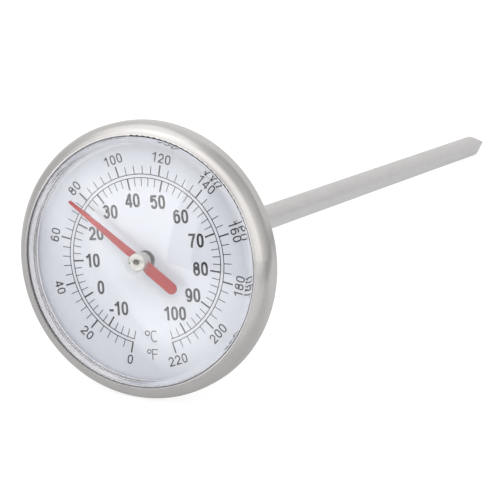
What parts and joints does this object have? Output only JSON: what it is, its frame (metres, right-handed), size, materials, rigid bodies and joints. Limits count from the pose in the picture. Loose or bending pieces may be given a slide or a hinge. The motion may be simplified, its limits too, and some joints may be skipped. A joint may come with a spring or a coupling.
{
  "type": "dial meat thermometer",
  "caption": "Dial meat thermometer: round steel head with a domed clear crystal, dual-scale dial and red pointer on a thin pointed probe.",
  "frame": {"origin": "on the probe's axis where the probe leaves the rear face of the hexagon nut behind the head", "axes": "+Y down the probe to its point, -Y out of the dial towards the reader, +Z towards 12 o'clock on the dial, +X towards 3 o'clock"},
  "size_m": [0.041, 0.1559, 0.041],
  "materials": {
    "case_steel": "drawn stainless steel, fine satin",
    "bezel_steel": "stainless steel, spun satin with a soft shine",
    "clear_lens": "clear moulded plastic, polished",
    "gasket_rubber": "matte white silicone",
    "ring_aluminium": "turned aluminium",
    "dial_enamel": "white enamelled plate, printed",
    "nut_steel": "machined stainless steel",
    "washer_fibre": "pressed fibre",
    "spring_steel": "spring steel, dull",
    "probe_steel": "drawn stainless tube, satin",
    "bush_brass": "turned brass",
    "bimetal": "rolled bimetal strip",
    "shaft_steel": "ground wire",
    "hub_nickel": "nickel plated",
    "pointer_red": "red lacquer"
  },
  "bodies": {
    "probe": {"stem_tube": "probe_steel", "tip_plug": "probe_steel", "hex_nut": "nut_steel", "friction_washer": "washer_fibre", "disc_spring": "spring_steel", "retaining_clip": "spring_steel", "upper_bush": "spring_steel", "middle_bush": "bush_brass", "lower_bush": "bush_brass", "coil_anchor": "shaft_steel", "bimetal_coil": "bimetal"},
    "head": {"case_cup": "case_steel", "bezel_ring": "bezel_steel", "crystal": "clear_lens", "crystal_gasket": "gasket_rubber", "spacer_ring": "ring_aluminium", "dial_plate": "dial_enamel", "dial_support": "ring_aluminium"},
    "pointer": {"pointer_shaft": "shaft_steel", "coil_ferrule": "shaft_steel", "pointer_hub": "hub_nickel", "pointer_blade": "pointer_red", "clinch_ring": "hub_nickel"}
  },
  "joints": [
    {"name": "calibration_turn", "type": "hinge", "parent": "probe", "child": "head", "pos_m": [0, -0.0062, 0], "axis": [0, 1, 0], "continuous": true},
    {"name": "pointer_turn", "type": "hinge", "parent": "probe", "child": "pointer", "pos_m": [0, -0.007, 0], "axis": [0, 1, 0], "range_deg": [-115, 215], "stiffness_Nm_per_rad": 0.0002, "deforming": ["bimetal_coil"]}
  ]
}
